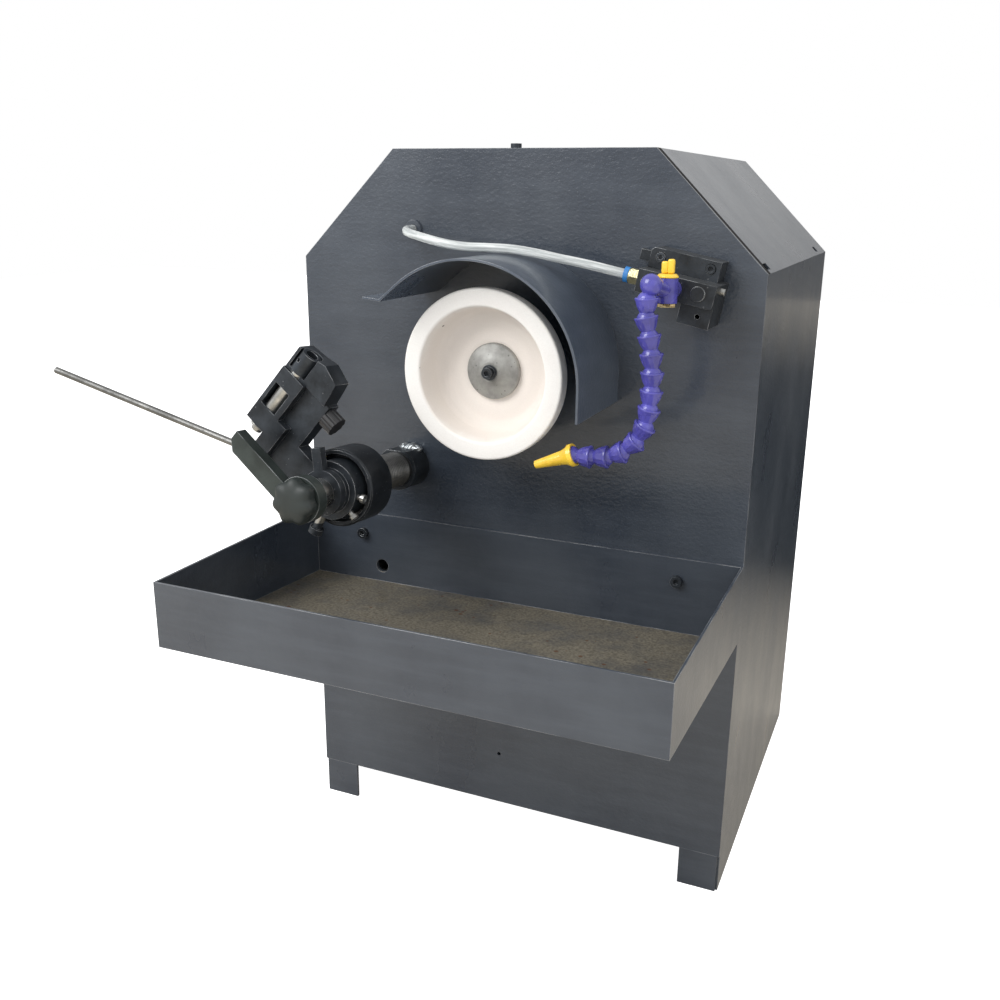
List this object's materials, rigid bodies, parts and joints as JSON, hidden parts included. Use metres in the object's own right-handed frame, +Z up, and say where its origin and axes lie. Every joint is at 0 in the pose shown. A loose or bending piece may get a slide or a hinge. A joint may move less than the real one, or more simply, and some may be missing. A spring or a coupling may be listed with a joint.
{
  "type": "wet grinding sharpener",
  "caption": "Wet tool sharpener: sheet steel cabinet with a white cup wheel under a guard, a drip tray, a swinging tool arm and a segmented coolant hose.",
  "frame": {"origin": "on the floor under the middle of the cabinet's footprint", "axes": "+Z up, -Y out of the front panel with the wheel, +X to the right seen from the front"},
  "size_m": [0.6032, 0.653, 0.705],
  "materials": {
    "slate_enamel": "glossy hammered enamel",
    "frame_paint": "satin",
    "black_oxide": "semi-gloss blackened steel",
    "black_plastic": "matte",
    "bare_steel": "turned",
    "thread_steel": "oily thread",
    "bar_steel": "satin",
    "zinc": "zinc plated",
    "white_abrasive": "fine grit",
    "motor_paint": "satin",
    "galvanised": "galvanised",
    "clear_hose": "clear",
    "black_rubber": "matte",
    "pale_brass": "satin",
    "blue_plastic": "gloss",
    "violet_plastic": "gloss",
    "yellow_plastic": "gloss",
    "knob_plastic": "satin",
    "green_plastic": "gloss",
    "red_plastic": "gloss"
  },
  "bodies": {
    "root": {"front_panel": "slate_enamel", "cabinet_shell": "slate_enamel", "rear_cover": "slate_enamel", "cabinet_screws": "zinc", "base_frame": "frame_paint", "inner_shelves": "galvanised", "drip_tray": "slate_enamel", "wheel_guard": "slate_enamel", "motor_body": "motor_paint", "motor_covers": "motor_paint", "motor_bearings": "bare_steel", "coolant_tank": "galvanised", "pump_body": "black_plastic", "riser_pipe": "clear_hose", "drain_pipe": "black_rubber", "panel_grommet": "black_rubber", "supply_hose": "clear_hose", "push_fitting": "pale_brass", "release_collar": "blue_plastic", "manifold_bar": "black_oxide", "manifold_block": "black_oxide", "manifold_screws": "black_oxide", "tap_body": "violet_plastic", "arm_boss": "black_oxide", "threaded_sleeve": "thread_steel", "switch_box": "black_plastic"},
    "wheel_spindle": {"rotor_shaft": "bare_steel", "back_flange": "bare_steel", "grinding_wheel": "white_abrasive", "front_flange": "bare_steel", "clamp_screw": "black_oxide"},
    "tap_lever": {"tap_handle": "yellow_plastic"},
    "hose_01": {"hose_segment_01": "violet_plastic"},
    "hose_02": {"hose_segment_02": "violet_plastic"},
    "hose_03": {"hose_segment_03": "violet_plastic"},
    "hose_04": {"hose_segment_04": "violet_plastic"},
    "hose_05": {"hose_segment_05": "violet_plastic"},
    "hose_06": {"hose_segment_06": "violet_plastic"},
    "hose_07": {"hose_segment_07": "violet_plastic"},
    "hose_08": {"hose_segment_08": "violet_plastic"},
    "hose_09": {"hose_segment_09": "violet_plastic"},
    "hose_10": {"hose_segment_10": "violet_plastic"},
    "hose_11": {"hose_segment_11": "violet_plastic"},
    "hose_12": {"hose_segment_12": "violet_plastic"},
    "hose_nozzle": {"nozzle": "yellow_plastic"},
    "feed_slide": {"thrust_washer": "bare_steel"},
    "feed_collar": {"feed_collar": "black_oxide"},
    "swing_arm": {"pivot_shaft": "bare_steel", "swing_bracket": "black_oxide", "tool_block": "black_oxide", "block_cap": "black_oxide", "arm_screws": "zinc"},
    "tool_spindle": {"tool_spindle": "bare_steel"},
    "thumbscrew": {"clamp_thumbscrew": "black_plastic"},
    "stop_ring": {"stop_ring": "black_oxide"},
    "lever_arm": {"arm_bar": "bar_steel", "lever_rod": "bare_steel"},
    "star_knob": {"star_knob": "knob_plastic"},
    "start_push": {"start_button": "green_plastic"},
    "stop_push": {"stop_button": "red_plastic"}
  },
  "joints": [
    {"name": "wheel_spin", "type": "hinge", "parent": "root", "child": "wheel_spindle", "pos_m": [0, -0.277, 0.51], "axis": [0, -1, 0], "continuous": true},
    {"name": "tap_turn", "type": "hinge", "parent": "root", "child": "tap_lever", "pos_m": [0.1575, -0.266, 0.589], "axis": [0, 0, 1], "range_deg": [0, 90]},
    {"name": "hose_bend_01", "type": "hinge", "parent": "root", "child": "hose_01", "pos_m": [0.148, -0.29, 0.5825], "axis": [0, -1, 0], "range_deg": [-3, 8]},
    {"name": "hose_bend_02", "type": "hinge", "parent": "hose_01", "child": "hose_02", "pos_m": [0.14851, -0.29, 0.56791], "axis": [0, -1, 0], "range_deg": [-3, 10]},
    {"name": "hose_bend_03", "type": "hinge", "parent": "hose_02", "child": "hose_03", "pos_m": [0.15155, -0.29, 0.55363], "axis": [0, -1, 0], "range_deg": [-3, 12]},
    {"name": "hose_bend_04", "type": "hinge", "parent": "hose_03", "child": "hose_04", "pos_m": [0.15408, -0.29, 0.53925], "axis": [0, -1, 0], "range_deg": [-2, 12]},
    {"name": "hose_bend_05", "type": "hinge", "parent": "hose_04", "child": "hose_05", "pos_m": [0.15535, -0.29, 0.5247], "axis": [0, -1, 0], "range_deg": [-2, 12]},
    {"name": "hose_bend_06", "type": "hinge", "parent": "hose_05", "child": "hose_06", "pos_m": [0.15535, -0.29, 0.51011], "axis": [0, -1, 0], "range_deg": [-2, 12]},
    {"name": "hose_bend_07", "type": "hinge", "parent": "hose_06", "child": "hose_07", "pos_m": [0.15408, -0.29, 0.49556], "axis": [0, -1, 0], "range_deg": [-2, 12]},
    {"name": "hose_bend_08", "type": "hinge", "parent": "hose_07", "child": "hose_08", "pos_m": [0.1508, -0.29, 0.48134], "axis": [0, -1, 0], "range_deg": [-1, 12]},
    {"name": "hose_bend_09", "type": "hinge", "parent": "hose_08", "child": "hose_09", "pos_m": [0.14372, -0.29, 0.46857], "axis": [0, -1, 0], "range_deg": [-1, 12]},
    {"name": "hose_bend_10", "type": "hinge", "parent": "hose_09", "child": "hose_10", "pos_m": [0.1327, -0.29, 0.45899], "axis": [0, -1, 0], "range_deg": [-1, 12]},
    {"name": "hose_bend_11", "type": "hinge", "parent": "hose_10", "child": "hose_11", "pos_m": [0.11907, -0.29, 0.45376], "axis": [0, -1, 0], "range_deg": [-3, 12]},
    {"name": "hose_bend_12", "type": "hinge", "parent": "hose_11", "child": "hose_12", "pos_m": [0.10455, -0.29, 0.45223], "axis": [0, -1, 0], "range_deg": [-6, 12]},
    {"name": "nozzle_bend", "type": "hinge", "parent": "hose_12", "child": "hose_nozzle", "pos_m": [0.08995, -0.29, 0.45197], "axis": [0, -1, 0], "range_deg": [-12, 3]},
    {"name": "arm_feed", "type": "slide", "parent": "root", "child": "feed_slide", "axis": [0, -0.9969, 0.0785], "range_m": [0, 0.012]},
    {"name": "collar_turn", "type": "hinge", "parent": "feed_slide", "child": "feed_collar", "pos_m": [-0.111, -0.2, 0.4], "axis": [0, -0.9969, 0.0785], "range_deg": [0, 720]},
    {"name": "arm_swing", "type": "hinge", "parent": "feed_slide", "child": "swing_arm", "pos_m": [-0.111, -0.2, 0.4], "axis": [0, -0.9969, 0.0785], "range_deg": [-60, 20]},
    {"name": "stop_ring_turn", "type": "hinge", "parent": "swing_arm", "child": "stop_ring", "pos_m": [-0.111, -0.35851, 0.41247], "axis": [0, -0.9969, 0.0785], "range_deg": [-45, 45]},
    {"name": "lever_turn", "type": "hinge", "parent": "swing_arm", "child": "lever_arm", "pos_m": [-0.111, -0.39041, 0.41499], "axis": [0, -0.9969, 0.0785], "range_deg": [-25, 25]},
    {"name": "star_knob_turn", "type": "hinge", "parent": "swing_arm", "child": "star_knob", "pos_m": [-0.111, -0.40337, 0.41601], "axis": [0, -0.9969, 0.0785], "range_deg": [-90, 90]},
    {"name": "tool_spindle_turn", "type": "hinge", "parent": "swing_arm", "child": "tool_spindle", "pos_m": [-0.1576, -0.34888, 0.49022], "axis": [0.6428, 0.0601, 0.7637], "continuous": true},
    {"name": "thumbscrew_turn", "type": "hinge", "parent": "swing_arm", "child": "thumbscrew", "pos_m": [-0.11207, -0.34176, 0.4723], "axis": [0.766, -0.0504, -0.6408], "range_deg": [-180, 180]},
    {"name": "start_press", "type": "slide", "parent": "root", "child": "start_push", "axis": [1, 0, 0], "range_m": [0, 0.003], "stiffness_N_per_m": 600, "springref_m": -0.001},
    {"name": "stop_press", "type": "slide", "parent": "root", "child": "stop_push", "axis": [1, 0, 0], "range_m": [0, 0.003], "stiffness_N_per_m": 600, "springref_m": -0.001}
  ],
  "couplings": [
    {"joint": "collar_turn", "follows": "arm_feed", "rad_per_m": 1047.2}
  ]
}
